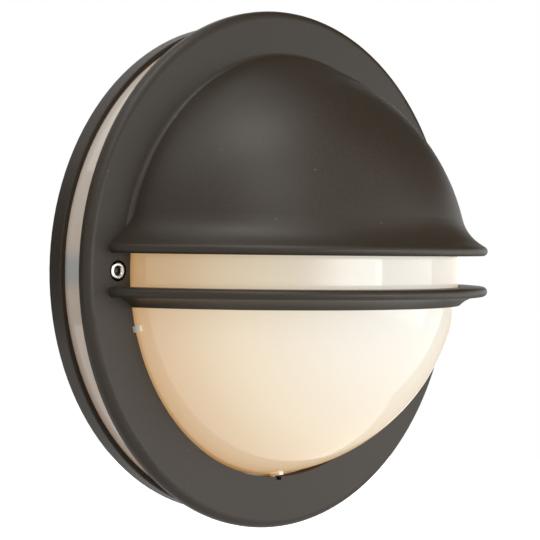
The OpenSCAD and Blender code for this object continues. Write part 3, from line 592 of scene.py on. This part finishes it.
# name, two tones, roughness, scale of the mottle, relief in metres
METALS = [("zinc_plated_steel", (0.50, 0.52, 0.55), (0.60, 0.61, 0.62), 0.34, 120.0, 0.00001),
          ("nickel_plate", (0.64, 0.62, 0.58), (0.72, 0.70, 0.66), 0.20, 150.0, 0.000006),
          ("brass", (0.68, 0.48, 0.20), (0.76, 0.57, 0.27), 0.28, 150.0, 0.00001)]
zinc, nickel, brass = (make_metal(*row) for row in METALS)
for name in ("holder_bracket", "bracket_screws", "holder_screws", "terminal_screws",
             "block_screws", "earth_lug", "earth_screw"):
    finish_node(name, zinc)
for name in ("holder_shell", "holder_contact", "terminal_sleeves", "earth_washer"):
    finish_node(name, brass)
print("metals", zinc.name, nickel.name, brass.name)

# %% [markdown]
# ## Rubber, porcelain and plastics
# The seals are dull black rubber with a faint pale bloom. The lampholder is glazed porcelain: a
# smooth gloss over a slightly wavy body. The terminal block, the wires and the lamp are moulded
# plastic, whose fine spark-eroded grain takes the hard edge off their shine.

# %% Rubber, porcelain, nylon, wire insulation and the lamp
MOULDED_MOTTLE_SCALE = 80.0
MOULDED_DRIFT = 0.05


def make_moulded(name, tone_a, tone_b, roughness, grain_scale, relief):
    """A plastic, rubber or glaze whose tone goes between two, over a grain of that relief."""
    material, tree, shader = new_material(name, tone_a, roughness)
    mottle = add_mottle(tree, shader, tone_a, tone_b, MOULDED_MOTTLE_SCALE)
    vary_roughness(tree, shader, mottle.outputs["Mask"], roughness - MOULDED_DRIFT,
                   roughness + MOULDED_DRIFT)
    add_relief(tree, shader, grain_scale, relief, strength=0.5)
    return material


# name, two tones, roughness, scale of the grain, relief in metres
MOULDED = [("black_rubber", (0.018, 0.018, 0.018), (0.034, 0.033, 0.032), 0.78, 2500.0, 0.00004),
           ("white_porcelain", (0.80, 0.78, 0.73), (0.84, 0.83, 0.79), 0.14, 120.0, 0.00006),
           ("white_nylon", (0.76, 0.75, 0.70), (0.82, 0.81, 0.77), 0.46, 3000.0, 0.00002),
           ("frosted_lamp", (0.86, 0.85, 0.81), (0.90, 0.89, 0.86), 0.38, 4000.0, 0.00001),
           ("brown_insulation", (0.15, 0.06, 0.03), (0.19, 0.08, 0.04), 0.40, 2500.0, 0.00002),
           ("blue_insulation", (0.03, 0.11, 0.38), (0.04, 0.14, 0.46), 0.40, 2500.0, 0.00002),
           ("green_insulation", (0.10, 0.32, 0.05), (0.16, 0.40, 0.07), 0.40, 2500.0, 0.00002)]
rubber, porcelain, nylon, frosted, brown, blue, green = (make_moulded(*row) for row in MOULDED)
for name in ("diffuser_seal", "flange_washers", "cable_grommet"):
    finish_node(name, rubber)
for name, material in (("holder_body", porcelain), ("terminal_block", nylon), ("lamp", frosted),
                       ("live_wire", brown), ("neutral_wire", blue), ("earth_wire", green)):
    finish_node(name, material)
print("moulded", [row[0] for row in MOULDED])

# %% [markdown]
# ## Turned and rolled pieces
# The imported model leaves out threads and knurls, and these pieces put them back: the cover screws,
# the lamp and the threaded shell that it is screwed into. Blender's Screw modifier makes a bare
# thread, but it can't end one or join it to a knurl and a hexagon. So each skin is a grid: a row
# for each step along the axis, a column for each step round it, and two arrays that say how far
# out and how high every point stands.

# %% A closed skin about an axis
COLUMNS = 96
ANGLE = np.linspace(0, 2 * np.pi, COLUMNS, endpoint=False)
SHARP_ANGLE = math.radians(32)


def stack_rings(*rings):
    """Radius and height arrays from (radius, height) pairs. Either is a number, a row with a value
    for each column, or a block of rows."""
    wide = np.zeros((1, COLUMNS))
    blocks = [np.broadcast_arrays(np.atleast_2d(r), np.atleast_2d(h), wide)[:2] for r, h in rings]
    return tuple(np.concatenate([block[part] for block in blocks]) for part in (0, 1))


def turned_skin(radius, height, centre, axes, loop=False):
    """Points and faces of a closed skin. The point in row i, column j is
    centre + radius (cos a u + sin a v) + height w, where a is the column's angle and u, v, w are
    the axes. The first and last rows are each closed by a pole on the axis, or in a loop they join
    each other."""
    rows = len(radius)
    local = np.stack([radius * np.cos(ANGLE), radius * np.sin(ANGLE), height], axis=2)
    local = local.reshape(-1, 3)
    index = np.arange(rows * COLUMNS).reshape(rows, COLUMNS)
    low, high = (index, np.roll(index, -1, axis=0)) if loop else (index[:-1], index[1:])
    corners = [low, np.roll(low, -1, axis=1), np.roll(high, -1, axis=1), high]
    faces = np.stack(corners, axis=2).reshape(-1, 4).tolist()
    if not loop:
        first, last = index[0], index[-1]
        poles = rows * COLUMNS + np.arange(2)
        faces += np.stack([np.full(COLUMNS, poles[0]), np.roll(first, -1), first], axis=1).tolist()
        faces += np.stack([np.full(COLUMNS, poles[1]), last, np.roll(last, -1)], axis=1).tolist()
        local = np.vstack([local, [[0, 0, height[0].mean()], [0, 0, height[-1].mean()]]])
    return np.asarray(centre) + local @ np.asarray(axes, float), faces


def make_piece(name, skins, material, node_name):
    """One object of one or more skins. It rides on the body and takes the place of a node of the
    imported model, which it hides.
    """
    points, faces, count = [], [], 0
    for skin_points, skin_faces in skins:
        points.append(skin_points * MM)
        faces += [[corner + count for corner in face] for face in skin_faces]
        count += len(skin_points)
    mesh = bpy.data.meshes.new(name)
    mesh.from_pydata(np.concatenate(points).tolist(), [], faces)
    mesh.shade_smooth()
    mesh.set_sharp_from_angle(angle=SHARP_ANGLE)
    mesh.materials.append(material)
    piece = bpy.data.objects.new(name, mesh)
    bpy.context.scene.collection.objects.link(piece)
    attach(piece, "root")
    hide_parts(node_name)
    print(name, "faces", len(mesh.polygons))


# %% [markdown]
# ## Threads
# A rolled thread is a wave that climbs by its pitch in each turn and fades into the plain shank. A
# helix that is swept by a profile would have to be joined to the shank afterwards, while a wave of
# the radius is part of the skin.

# %% Thread wave and run-out


def thread_radius(height, root, crest, pitch):
    """Radius of a right-handed thread: a cosine wave between root and crest, whose phase is a turn
    for each pitch of height less the column's angle."""
    return root + (crest - root) * (0.5 + 0.5 * np.cos(2 * np.pi * height / pitch - ANGLE))


def ramp(height, start, end):
    """0 up to the start and 1 from the end on, with a straight rise between."""
    return np.clip((height - start) / (end - start), 0, 1)


# %% [markdown]
# ## Cover screws
# Each is an M5 cylinder-head screw: a pitch of 0.8 mm, a knurled head of 8.5 mm with a rounded
# edge, and a hexagon socket of 4 mm. From the axis at the tip, the skin goes out and up the
# thread, round the head, and down into the socket. The distance to a hexagon's side is its inner
# radius over the cosine of the angle from the side's middle, so one row of that radius is the
# socket's mouth and another its foot.

# %% M5 socket-head screws
THREAD_PITCH = 0.8
THREAD_ROOT, THREAD_CREST = 2.01, 2.5
SHANK = 25.0
HEAD_HEIGHT = 5.0
HEAD_ROUND = 0.5
KNURL_TEETH, KNURL_DEPTH = 32, 0.12
HEX_HALF = 2.0
HEX_DEPTH = 2.6
HEX_FOOT, HEX_FOOT_R = 0.6, 0.05
MOUTH_R = 2.75
TIP_R, CHAMFER_R = 1.5, 1.7
THREAD_FROM, THREAD_TO = 0.1, SHANK - 1.5
RUN_OUT_FROM, RUN_OUT_TO, PLAIN_FROM = SHANK - 3.0, SHANK - 1.6, SHANK - 1.3
UNDER_HEAD = [(0.25, 0.0), (0.02, 0.2)]
KNURL_FROM, KNURL_TO, KNURL_END = 0.4, 1.0, 0.8
PLAIN_BAND = 0.01


def cover_screw_rows():
    """Radius and height rows of the whole screw, in millimetres from its tip."""
    head_r = SCREW_HEAD_R / MM
    top = SHANK + HEAD_HEIGHT
    height = np.arange(THREAD_FROM, THREAD_TO, THREAD_PITCH / 6)[:, None]
    chamfer = CHAMFER_R + height
    run_out = ramp(height, RUN_OUT_FROM, RUN_OUT_TO)
    thread = np.minimum(thread_radius(height, THREAD_ROOT, THREAD_CREST, THREAD_PITCH), chamfer)
    thread = thread + (THREAD_CREST - thread) * run_out
    knurl = head_r - KNURL_DEPTH * (0.5 - 0.5 * np.cos(KNURL_TEETH * ANGLE))
    turn = np.linspace(0, np.pi / 2, 6)[:, None]
    hexagon = HEX_HALF / np.cos((ANGLE + np.pi / 6) % (np.pi / 3) - np.pi / 6)
    return stack_rings(
        (TIP_R, 0.0), (thread, height), (THREAD_CREST, PLAIN_FROM), (THREAD_CREST, SHANK),
        *[(head_r - inward, SHANK + above) for inward, above in UNDER_HEAD],
        (knurl, SHANK + KNURL_FROM), (knurl, top - KNURL_TO),
        (head_r - PLAIN_BAND, top - KNURL_END),
        (head_r - HEAD_ROUND * (1 - np.cos(turn)), top - HEAD_ROUND * (1 - np.sin(turn))),
        (MOUTH_R, top), (hexagon, top - (MOUTH_R - hexagon)), (hexagon, top - HEX_DEPTH),
        (HEX_FOOT_R, top - HEX_DEPTH - HEX_FOOT))


OUT_OF_WALL = ((1, 0, 0), (0, 0, 1), (0, -1, 0))
screw_rows = cover_screw_rows()
screw_tips = [(side * SCREW_X / MM, screw_high.y / MM, 0) for side in (-1, 1)]
make_piece("cover_screw_pair", [turned_skin(*screw_rows, tip, OUT_OF_WALL) for tip in screw_tips],
           turned_steel, "cover_screws")

# %% [markdown]
# ## Lamp
# The lamp is a frosted globe on a white collar, with an E27 cap: a round thread with a pitch of
# 3.6 mm in thin nickel-plated metal, a pale insulator and a tip of solder. Its outline is a circle
# for the globe, a hollow arc that touches it, and a straight collar.

# %% Lamp with a screw cap
lamp_low, lamp_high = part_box("lamp")
GLOBE_R, GLOBE_AT = 30.0, 76.0
COLLAR_R, HOLLOW_R = 15.5, 40.0
SEAM_AT, SEAM_ROUND = 50.0, 0.3
GLASS_FOOT_R, COLLAR_TOP_R = 17.0, 16.9
COLLAR_FOOT_R, COLLAR_ROUND = 12.9, 0.5
FRONT_POLE_GAP = 0.03
CAP_PITCH, CAP_ROOT, CAP_CREST = 3.629, 12.2, 13.2
CAP_END, CAP_ROUND = 27.0, 0.3
CAP_THREAD_FROM, CAP_THREAD_TO, CAP_PLAIN_FROM = 6.0, 21.0, 21.5
CAP_RUN_OUT = (19.5, 20.9)
CAP_FOOT = [(9.1, 5.1), (11.6, 5.1), (12.0, 5.5)]
INSULATOR = [(4.3, 1.7), (5.0, 1.7), (9.0, 4.9), (9.0, 5.2)]
SOLDER_TIP = [(0.8, 0.0), (2.6, 0.25), (3.9, 0.8), (4.5, 1.5), (4.5, 2.0)]
ALONG_LAMP = ((0, 1, 0), (0, 0, 1), (1, 0, 0))
lamp_tip = (lamp_low.x / MM, (lamp_low.y + lamp_high.y) / 2 / MM,
            (lamp_low.z + lamp_high.z) / 2 / MM)
hollow_from = GLOBE_AT - math.sqrt((GLOBE_R + HOLLOW_R) ** 2 - (COLLAR_R + HOLLOW_R) ** 2)
touch_at = GLOBE_AT - (GLOBE_AT - hollow_from) * GLOBE_R / (GLOBE_R + HOLLOW_R)


def outline(height):
    """Radius of the glass and collar: the collar's up to the hollow, then the hollow arc's, then
    the globe's."""
    along = np.clip(height - hollow_from, 0, HOLLOW_R)
    hollow = COLLAR_R + HOLLOW_R - np.sqrt(HOLLOW_R ** 2 - along ** 2)
    globe = np.sqrt(np.clip(GLOBE_R ** 2 - (height - GLOBE_AT) ** 2, 0, None))
    return np.where(height < touch_at, hollow, globe)


def lamp_piece(name, rings, material):
    """A piece of the lamp, from its (radius, height) pairs in millimetres from the tip."""
    skin = turned_skin(*stack_rings(*rings), lamp_tip, ALONG_LAMP)
    make_piece(name, [skin], material, "lamp")


globe_turn = np.linspace(np.arccos((GLOBE_AT - touch_at) / GLOBE_R), np.pi - FRONT_POLE_GAP, 48)
globe_heights = np.concatenate([np.linspace(SEAM_AT + SEAM_ROUND, touch_at, 12)[:-1],
                                GLOBE_AT - GLOBE_R * np.cos(globe_turn)])[:, None]
collar_heights = np.linspace(CAP_END + COLLAR_ROUND, SEAM_AT - SEAM_ROUND, 20)[:, None]
seam = (outline(SEAM_AT) - SEAM_ROUND, SEAM_AT)
lamp_piece("lamp_globe", [(GLASS_FOOT_R, SEAM_AT), seam, (outline(globe_heights), globe_heights)],
           frosted)
lamp_piece("lamp_collar", [(COLLAR_FOOT_R, CAP_END), (COLLAR_R - COLLAR_ROUND, CAP_END),
                           (outline(collar_heights), collar_heights), seam,
                           (COLLAR_TOP_R, SEAM_AT)], nylon)
cap_heights = np.arange(CAP_THREAD_FROM, CAP_THREAD_TO, CAP_PITCH / 12)[:, None]
cap_thread = thread_radius(cap_heights, CAP_ROOT, CAP_CREST, CAP_PITCH)
cap_thread = cap_thread + (CAP_CREST - cap_thread) * ramp(cap_heights, *CAP_RUN_OUT)
lamp_piece("lamp_cap", [*CAP_FOOT, (cap_thread, cap_heights), (CAP_CREST, CAP_PLAIN_FROM),
                        (CAP_CREST, CAP_END - CAP_ROUND), (CAP_CREST - CAP_ROUND, CAP_END)],
           nickel)
lamp_piece("lamp_insulator", INSULATOR, nylon)
lamp_piece("lamp_tip", SOLDER_TIP, nickel)

# %% [markdown]
# ## Threaded shell of the holder
# The lamp sits in a shell of rolled brass. It has the cap's own thread, 0.15 mm further out and in
# step with it, so that the two would really screw together. A shell has no end on the axis, so its
# skin is a loop: up the outside, over the edge and down the inside.

# %% Brass shell round the cap
shell_low, shell_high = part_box("holder_shell")
SHELL_GAP, SHELL_WALL = 0.15, 0.45
SHELL_LEAD, SHELL_RUN_OUT = 2.0, (17.5, 19.0)
shell_start, shell_end = (shell_low.x - lamp_low.x) / MM, (shell_high.x - lamp_low.x) / MM
shell_heights = np.arange(shell_start, shell_end, CAP_PITCH / 12)[:, None]
shell_thread = thread_radius(shell_heights, CAP_ROOT, CAP_CREST, CAP_PITCH) + SHELL_GAP
plain = CAP_CREST + SHELL_GAP
lead_in = ramp(shell_heights, shell_start, shell_start + SHELL_LEAD)
in_thread = lead_in * (1 - ramp(shell_heights, *SHELL_RUN_OUT))
shell_inside = plain + (shell_thread - plain) * in_thread
shell_rows = stack_rings((shell_inside + SHELL_WALL, shell_heights),
                         (plain + SHELL_WALL, shell_end), (plain, shell_end),
                         (shell_inside[::-1], shell_heights[::-1]))
make_piece("holder_thread", [turned_skin(*shell_rows, lamp_tip, ALONG_LAMP, loop=True)],
           brass, "holder_shell")

# %% [markdown]
# ## Floor
# The light hangs on a wall, and the picture has a plain white ground. A pale floor lies well below
# the light and takes its shadow, which stays out of the picture from the photograph's place. Rays
# from the camera find some plain white added to the floor, and more of it further out, where it
# has to be as pale as the background, so that the floor has no edge.

# %% Pale floor below the light
FLOOR_DROP = 0.26
FLOOR_RADIUS = 2.4
FLOOR_COLOR = (0.80, 0.80, 0.80)
GLOW_FROM, GLOW_FULL, GLOW_LEAST = 0.3, 1.6, 0.12


def seen_directly(tree, place):
    """1 for rays from the camera, and for those that a glossy or clear surface sends on."""
    path = add_node(tree, "ShaderNodeLightPath", place)
    either = add_node(tree, "ShaderNodeMath", (place[0] + 200, place[1]), operation="MAXIMUM")
    any_ray = add_node(tree, "ShaderNodeMath", (place[0] + 400, place[1]), operation="MAXIMUM")
    join(tree, (path.outputs["Is Camera Ray"], either.inputs[0]),
         (path.outputs["Is Glossy Ray"], either.inputs[1]), (either.outputs[0], any_ray.inputs[0]),
         (path.outputs["Is Transmission Ray"], any_ray.inputs[1]))
    return any_ray.outputs[0]


def make_floor_material():
    """Plain pale paint, plus a white glow for the camera that grows with the distance outwards."""
    material = bpy.data.materials.new("pale_floor")
    material.use_nodes = True
    tree = material.node_tree
    tree.nodes.clear()
    end = add_node(tree, "ShaderNodeOutputMaterial", (600, 0))
    paint = add_node(tree, "ShaderNodeBsdfDiffuse", (0, 100), Color=(*FLOOR_COLOR, 1))
    glow = add_node(tree, "ShaderNodeEmission", (0, -150), Color=(1, 1, 1, 1))
    total = add_node(tree, "ShaderNodeAddShader", (300, 0))
    place = add_node(tree, "ShaderNodeTexCoord", (-1300, -300))
    reach = add_node(tree, "ShaderNodeVectorMath", (-1100, -300), operation="LENGTH")
    fade = add_node(tree, "ShaderNodeMapRange", (-900, -300), From_Min=GLOW_FROM,
                    From_Max=GLOW_FULL, To_Min=GLOW_LEAST, To_Max=1.0)
    strength = add_node(tree, "ShaderNodeMath", (-250, -250), operation="MULTIPLY")
    seen = seen_directly(tree, (-1000, 0))
    join(tree, (place.outputs["Object"], reach.inputs[0]),
         (reach.outputs["Value"], fade.inputs["Value"]),
         (fade.outputs["Result"], strength.inputs[0]), (seen, strength.inputs[1]),
         (strength.outputs[0], glow.inputs["Strength"]), (paint.outputs[0], total.inputs[0]),
         (glow.outputs[0], total.inputs[1]), (total.outputs[0], end.inputs["Surface"]))
    return material


def disc_mesh(name, radius, height, sides=96):
    """A flat round disc: one face whose corners stand at equal angles on a circle."""
    angle = np.linspace(0, 2 * np.pi, sides, endpoint=False)
    points = np.stack([radius * np.cos(angle), radius * np.sin(angle), np.full(sides, height)],
                      axis=1)
    mesh = bpy.data.meshes.new(name)
    mesh.from_pydata(points.tolist(), [], [list(range(sides))])
    return mesh


floor_height = cad_box[0][2] - FLOOR_DROP
floor = bpy.data.objects.new("floor", disc_mesh("floor", FLOOR_RADIUS, floor_height))
floor.data.materials.append(make_floor_material())
bpy.context.scene.collection.objects.link(floor)
print("floor at", round(floor_height, 3))

# %% [markdown]
# ## White world
# White walls fill the shadows of a studio. One plain background would make the fill as strong as
# the ground is white, so there are two: the weaker one lights the object, and the white one is
# what the camera, a mirror or clear plastic sees.

# %% World with a weak fill
FILL_LEVEL = 0.50


def make_world():
    """A white world: as strong as the fill for the light, and plain white where it is seen."""
    world = bpy.data.worlds.new("studio")
    bpy.context.scene.world = world
    world.use_nodes = True
    tree = world.node_tree
    tree.nodes.clear()
    end = add_node(tree, "ShaderNodeOutputWorld", (600, 0))
    fill = add_node(tree, "ShaderNodeBackground", (0, 100), Color=(1, 1, 1, 1), Strength=FILL_LEVEL)
    white = add_node(tree, "ShaderNodeBackground", (0, -100), Color=(1, 1, 1, 1), Strength=1.0)
    choice = add_node(tree, "ShaderNodeMixShader", (300, 0))
    seen = seen_directly(tree, (-600, 300))
    join(tree, (seen, choice.inputs[0]), (fill.outputs[0], choice.inputs[1]),
         (white.outputs[0], choice.inputs[2]), (choice.outputs[0], end.inputs["Surface"]))


make_world()
print("fill", FILL_LEVEL)

# %% [markdown]
# ## Studio light
# The photograph has a soft light high on the left, which shows as the broad shine on the hood, and
# a small softbox close in front, which the dome mirrors as a bright upright patch between the lip
# and the bar. Four weaker ones open the shadows: in front on the left, low in front, on the right,
# and high on the far left. Each is an area light that is aimed at the dome, and its power grows
# with its size, so that its level is the brightness of its face.

# %% Area lights
AIM = Vector((0, -60 * MM, 0))


def facing_the_light(azimuth, elevation, distance):
    """Matrix of a thing that stands on a sphere about the dome and looks at it along its own -Z.
    The angles are in degrees."""
    back = direction_at(math.radians(azimuth), math.radians(elevation))
    turn = back.to_track_quat("Z", "Y").to_matrix().to_4x4()
    return Matrix.Translation(AIM + back * distance) @ turn


def add_softbox(name, azimuth, elevation, distance, size, level, fade):
    """A rectangular light. Level is the radiance of its face, and fade the share of its width over
    which it grows from dark to full, from the left."""
    data = bpy.data.lights.new(name, "AREA")
    data.shape = "RECTANGLE"
    data.size, data.size_y = size
    data.energy = level * size[0] * size[1] * math.pi
    if fade:
        data.use_nodes = True
        tree = data.node_tree
        place = add_node(tree, "ShaderNodeNewGeometry", (-800, 0))
        axes = add_node(tree, "ShaderNodeSeparateXYZ", (-600, 0))
        grow = add_node(tree, "ShaderNodeMapRange", (-400, 0), From_Min=0.0, From_Max=fade)
        grow.interpolation_type = "SMOOTHSTEP"
        join(tree, (place.outputs["Parametric"], axes.inputs["Vector"]),
             (axes.outputs["X"], grow.inputs["Value"]),
             (grow.outputs["Result"], tree.nodes["Emission"].inputs["Strength"]))
    light = bpy.data.objects.new(name, data)
    light.matrix_world = facing_the_light(azimuth, elevation, distance)
    light.visible_camera = False
    bpy.context.scene.collection.objects.link(light)


# name, azimuth and elevation in degrees, distance, width and height, level, fade
SOFTBOXES = [("overhead_light", -50, 72, 1.2, (0.50, 0.50), 5.0, 0.0),
             ("near_softbox", 1.3, -1, 0.62, (0.56, 0.24), 4.8, 0.62),
             ("front_light", -35, 40, 1.2, (0.50, 0.50), 3.2, 0.0),
             ("low_light", -10, -32, 1.2, (0.80, 0.50), 3.0, 0.0),
             ("side_light", 46, -5, 1.2, (1.0, 0.80), 1.35, 0.0),
             ("left_light", -100, 55, 1.2, (0.50, 0.50), 1.2, 0.0)]
for row in SOFTBOXES:
    add_softbox(*row)
print("lights", [row[0] for row in SOFTBOXES])

# %% [markdown]
# ## Dark panels
# Photographers stand black panels, called flags, beside a curved thing to keep its edges from
# drowning in white. The photograph's hood is dark on its right, the dome keeps its tone up to its
# edge there, and the base is dark on the left. So here one panel stands high on the right, a small
# grey one lower down, and one behind on the left. Only mirror-like reflections show them, so they
# take no light from the object or the floor.

# %% Three flags


def make_cloth(name, tone):
    """Plain matt cloth of a grey tone."""
    material = bpy.data.materials.new(name)
    material.use_nodes = True
    tree = material.node_tree
    tree.nodes.clear()
    cloth = add_node(tree, "ShaderNodeBsdfDiffuse", (0, 0), Color=(tone, tone, tone, 1))
    end = add_node(tree, "ShaderNodeOutputMaterial", (300, 0))
    join(tree, (cloth.outputs[0], end.inputs["Surface"]))
    return material


def add_flag(name, azimuth, elevation, distance, size, material):
    """A flat rectangle of cloth that faces the light."""
    right, up = size[0] / 2, size[1] / 2
    corners = [(-right, -up, 0), (right, -up, 0), (right, up, 0), (-right, up, 0)]
    mesh = bpy.data.meshes.new(name)
    mesh.from_pydata(corners, [], [(0, 1, 2, 3)])
    mesh.transform(facing_the_light(azimuth, elevation, distance))
    mesh.materials.append(material)
    flag = bpy.data.objects.new(name, mesh)
    bpy.context.scene.collection.objects.link(flag)
    for kind in ("camera", "diffuse", "shadow", "transmission"):
        setattr(flag, "visible_" + kind, False)


black_cloth = make_cloth("black_cloth", 0.05)
grey_cloth = make_cloth("grey_cloth", 0.45)
# name, azimuth and elevation in degrees, distance, width and height, cloth
FLAGS = [("right_flag", 91, 43, 1.3, (1.4, 1.5), black_cloth),
         ("low_flag", 103, -23, 0.6, (0.34, 0.34), grey_cloth),
         ("left_flag", -135, 0, 1.3, (1.0, 1.4), black_cloth)]
for row in FLAGS:
    add_flag(*row)
print("flags", [row[0] for row in FLAGS])

# %% [markdown]
# ## Finish
# The view transform is Standard, so that a colour renders about as it is written.

# %% Colour management and the end
bpy.context.scene.view_settings.view_transform = "Standard"
